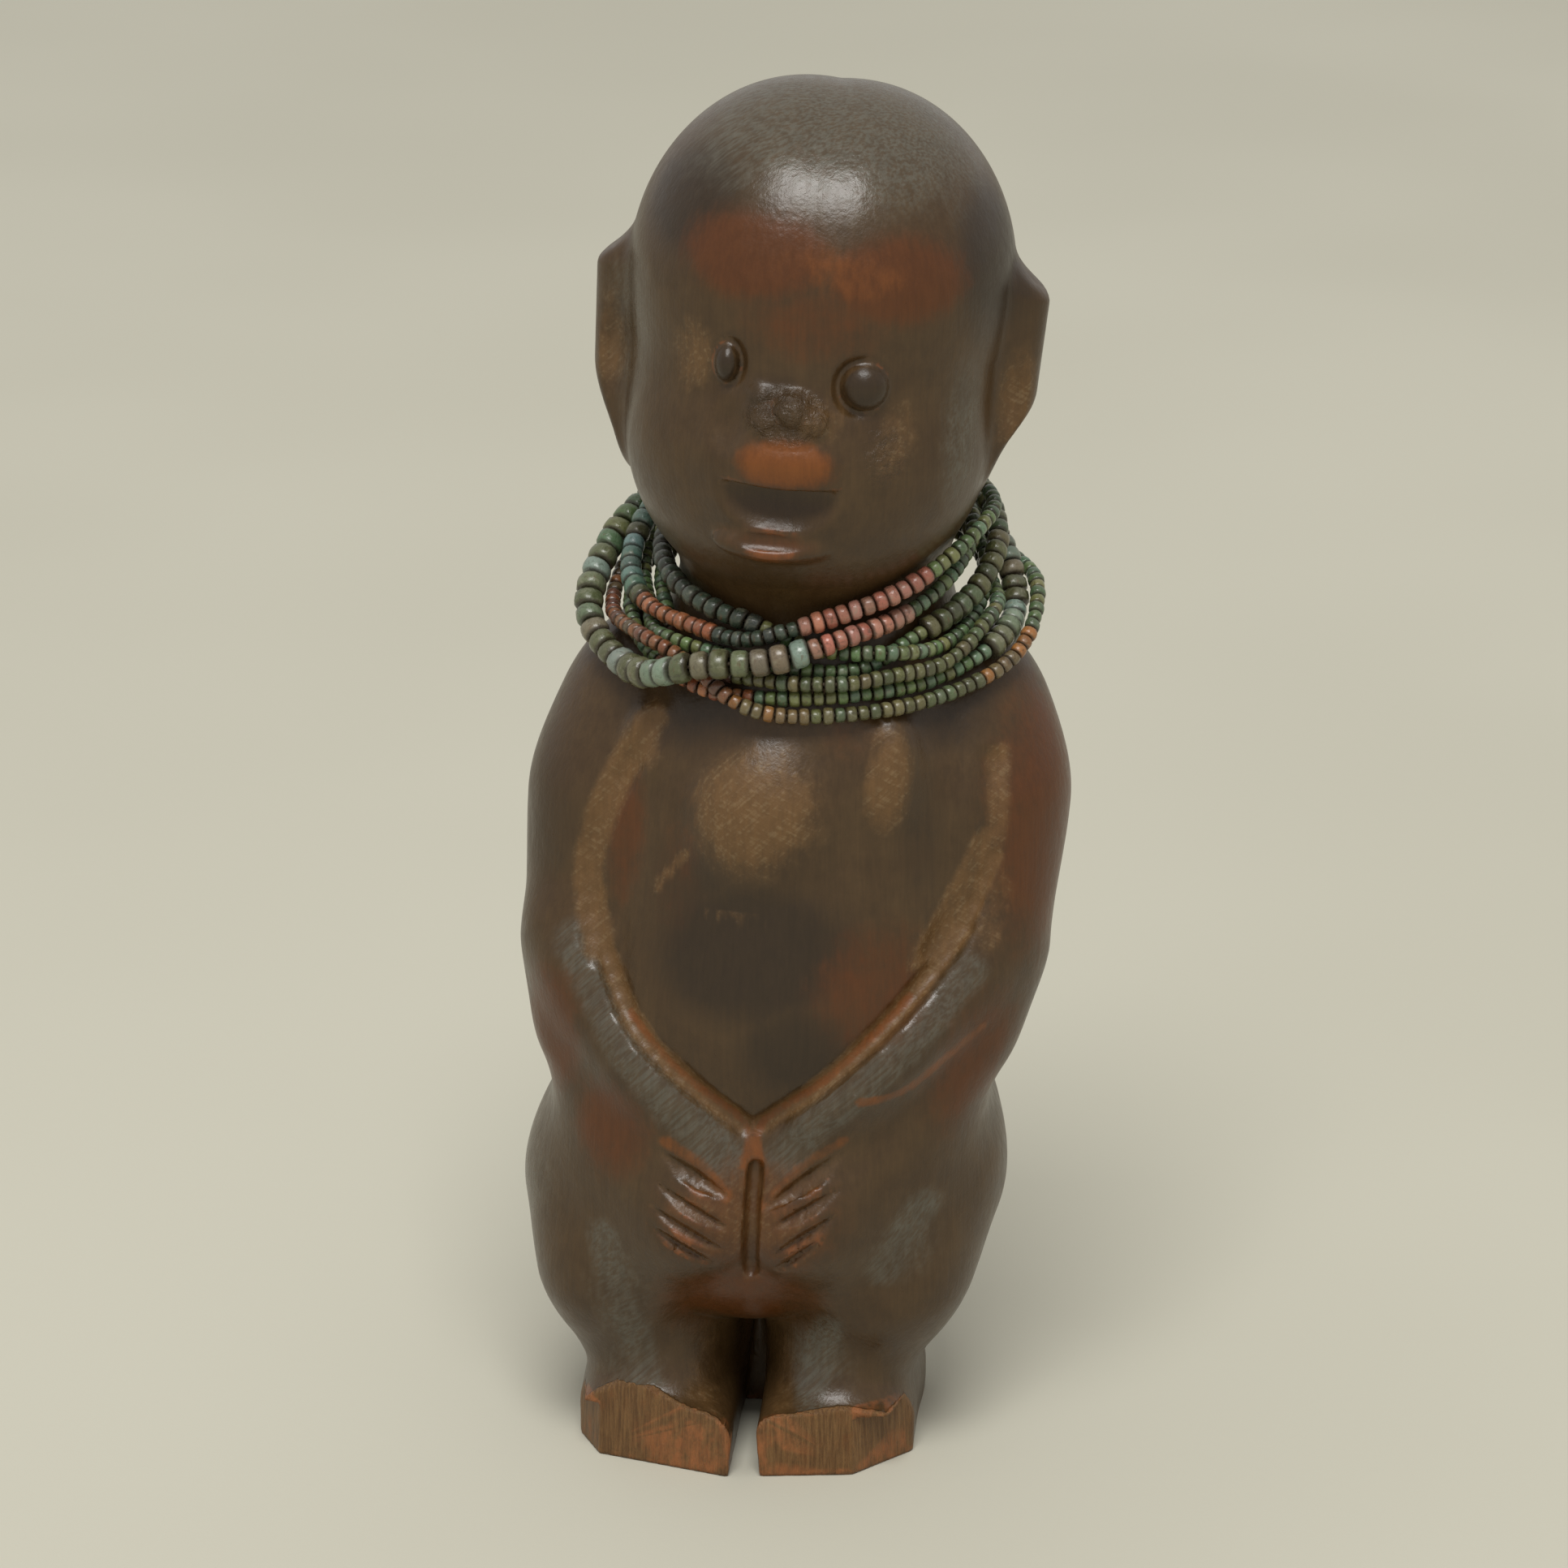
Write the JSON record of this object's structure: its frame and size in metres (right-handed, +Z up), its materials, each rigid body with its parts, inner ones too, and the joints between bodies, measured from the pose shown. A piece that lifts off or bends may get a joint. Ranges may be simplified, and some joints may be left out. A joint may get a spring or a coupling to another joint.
{
  "type": "carved wooden figure with bead necklace",
  "caption": "Small carved hardwood figure on bent legs, with a large head, hands meeting on the belly, and strands of old glass beads round the neck.",
  "frame": {"origin": "on the ground under the middle of the figure, where the flat soles of the feet stand", "axes": "+Z up along the figure, -Y the way the face looks, +X towards the figure's left hand, which is the right side of a front view"},
  "size_m": [0.079, 0.0592, 0.2005],
  "materials": {
    "patinated_wood": "dark oiled patina, polished where it has been handled",
    "beads_blue_green": "old opaque glass, worn",
    "beads_turquoise_coral": "old opaque glass, worn",
    "beads_dark_green": "old opaque glass, worn",
    "beads_red_brown": "old opaque glass, worn",
    "beads_olive": "old opaque glass, worn",
    "beads_grey_green": "old opaque glass, worn",
    "beads_grey_olive": "old opaque glass, worn"
  },
  "bodies": {
    "root": {"carved_figure": "patinated_wood", "strand_blue_green": "beads_blue_green", "strand_turquoise_coral": "beads_turquoise_coral", "strand_dark_green": "beads_dark_green", "strand_red_brown": "beads_red_brown", "strand_olive": "beads_olive", "strand_grey_green": "beads_grey_green", "strand_outer_right": "beads_grey_olive"}
  },
  "joints": []
}
